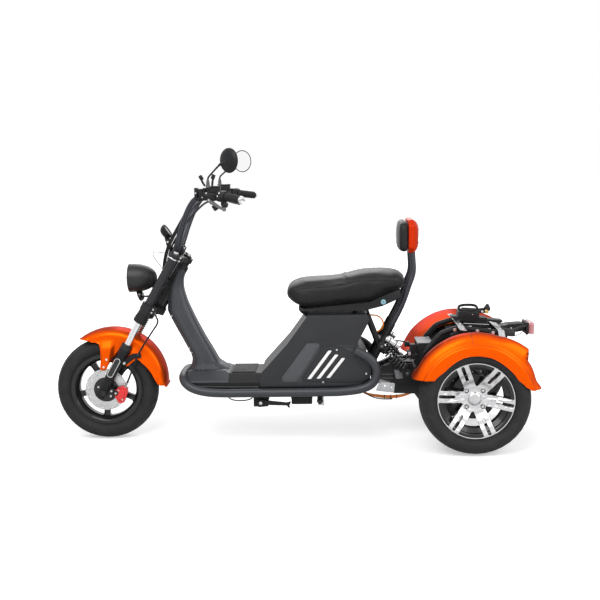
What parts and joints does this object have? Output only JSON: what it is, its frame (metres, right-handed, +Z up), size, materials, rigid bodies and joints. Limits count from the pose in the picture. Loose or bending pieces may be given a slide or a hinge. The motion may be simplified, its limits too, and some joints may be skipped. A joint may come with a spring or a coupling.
{
  "type": "three-wheeled electric scooter",
  "caption": "Step-through electric trike with one steered front wheel, two fendered rear wheels, long seat with backrest and a rear rack.",
  "frame": {"origin": "on the floor, under the middle of the overall length and width", "axes": "+X forward, +Y to the rider's left, +Z up"},
  "size_m": [2.205, 0.8, 1.3282],
  "materials": {
    "satin_black": "satin black paint",
    "gloss_black": "gloss black paint",
    "orange_paint": "metallic orange paint",
    "grey_plastic": "satin blue-grey moulded plastic",
    "dark_plastic": "matt black moulded plastic",
    "gloss_plastic": "gloss black plastic",
    "tyre_rubber": "matt tyre rubber",
    "rubber": "matt rubber",
    "black_rim": "black cast wheel",
    "machined_rim": "machined faces over black",
    "steel": "brushed steel",
    "zinc": "zinc plated strap",
    "red_caliper": "red anodised caliper",
    "seat_cover": "black stitched seat cover",
    "lens_clear": "clear lens",
    "lens_red": "pale red lens",
    "mirror": "mirror glass",
    "battery_case": "battery case",
    "orange_cable": "orange cable sheath",
    "white_plastic": "white moulded insert"
  },
  "bodies": {
    "frame": {"backrest_bar": "satin_black", "backrest_pad": "seat_cover", "backrest_shell": "orange_paint", "battery": "battery_case", "battery_box": "dark_plastic", "controller_box": "dark_plastic", "cover_inserts": "white_plastic", "floor_box": "dark_plastic", "floor_bumper": "grey_plastic", "floor_pan": "dark_plastic", "foot_mat": "rubber", "foot_pegs": "steel", "main_frame": "satin_black", "neck_cover": "grey_plastic", "power_cable": "orange_cable", "rack_straps": "zinc", "rear_axle": "dark_plastic", "rear_fender_left": "orange_paint", "rear_fender_right": "orange_paint", "rear_shocks": "gloss_black", "shock_bottles": "steel", "side_cover_left": "dark_plastic", "side_cover_right": "dark_plastic", "swing_frame": "gloss_black", "tail_bracket": "satin_black", "tail_light": "lens_red", "top_case_mount": "dark_plastic", "zinc_plates": "zinc"},
    "steering": {"brake_hose": "rubber", "brake_levers": "satin_black", "display": "gloss_plastic", "fork": "satin_black", "fork_covers": "grey_plastic", "fork_legs": "gloss_black", "fork_reflectors": "gloss_plastic", "front_caliper": "red_caliper", "front_fender": "orange_paint", "grips": "rubber", "handlebar": "satin_black", "headlight": "gloss_plastic", "headlight_lens": "lens_clear", "horn": "gloss_plastic", "mirror_glass": "mirror", "mirrors": "gloss_plastic", "phone_holder": "dark_plastic"},
    "front_wheel": {"front_tyre": "tyre_rubber", "front_rim": "black_rim", "front_disc": "steel"},
    "rear_wheel_left": {"rear_tyre_left": "tyre_rubber", "rear_rim_left": "machined_rim"},
    "rear_wheel_right": {"rear_tyre_right": "tyre_rubber", "rear_rim_right": "machined_rim"},
    "seat_lid": {"seat": "seat_cover", "seat_pan": "gloss_plastic", "seat_lock": "zinc"},
    "stand": {"side_stand": "satin_black"}
  },
  "joints": [
    {"name": "steering_turn", "type": "hinge", "parent": "frame", "child": "steering", "pos_m": [0.54309, 0, 0.71979], "axis": [-0.5, 0, 0.866], "range_deg": [-40, 40]},
    {"name": "front_wheel_spin", "type": "hinge", "parent": "steering", "child": "front_wheel", "pos_m": [0.866, 0, 0.2365], "axis": [0, 1, 0], "continuous": true},
    {"name": "rear_left_spin", "type": "hinge", "parent": "frame", "child": "rear_wheel_left", "pos_m": [-0.794, 0.306, 0.24], "axis": [0, 1, 0], "continuous": true},
    {"name": "rear_right_spin", "type": "hinge", "parent": "frame", "child": "rear_wheel_right", "pos_m": [-0.794, -0.306, 0.24], "axis": [0, 1, 0], "continuous": true},
    {"name": "seat_lift", "type": "hinge", "parent": "frame", "child": "seat_lid", "pos_m": [-0.049, 0, 0.594], "axis": [0, 1, 0], "range_deg": [0, 55]},
    {"name": "stand_fold", "type": "hinge", "parent": "frame", "child": "stand", "pos_m": [0.14, 0.152, 0.194], "axis": [0, -1, 0], "range_deg": [0, 80]}
  ]
}
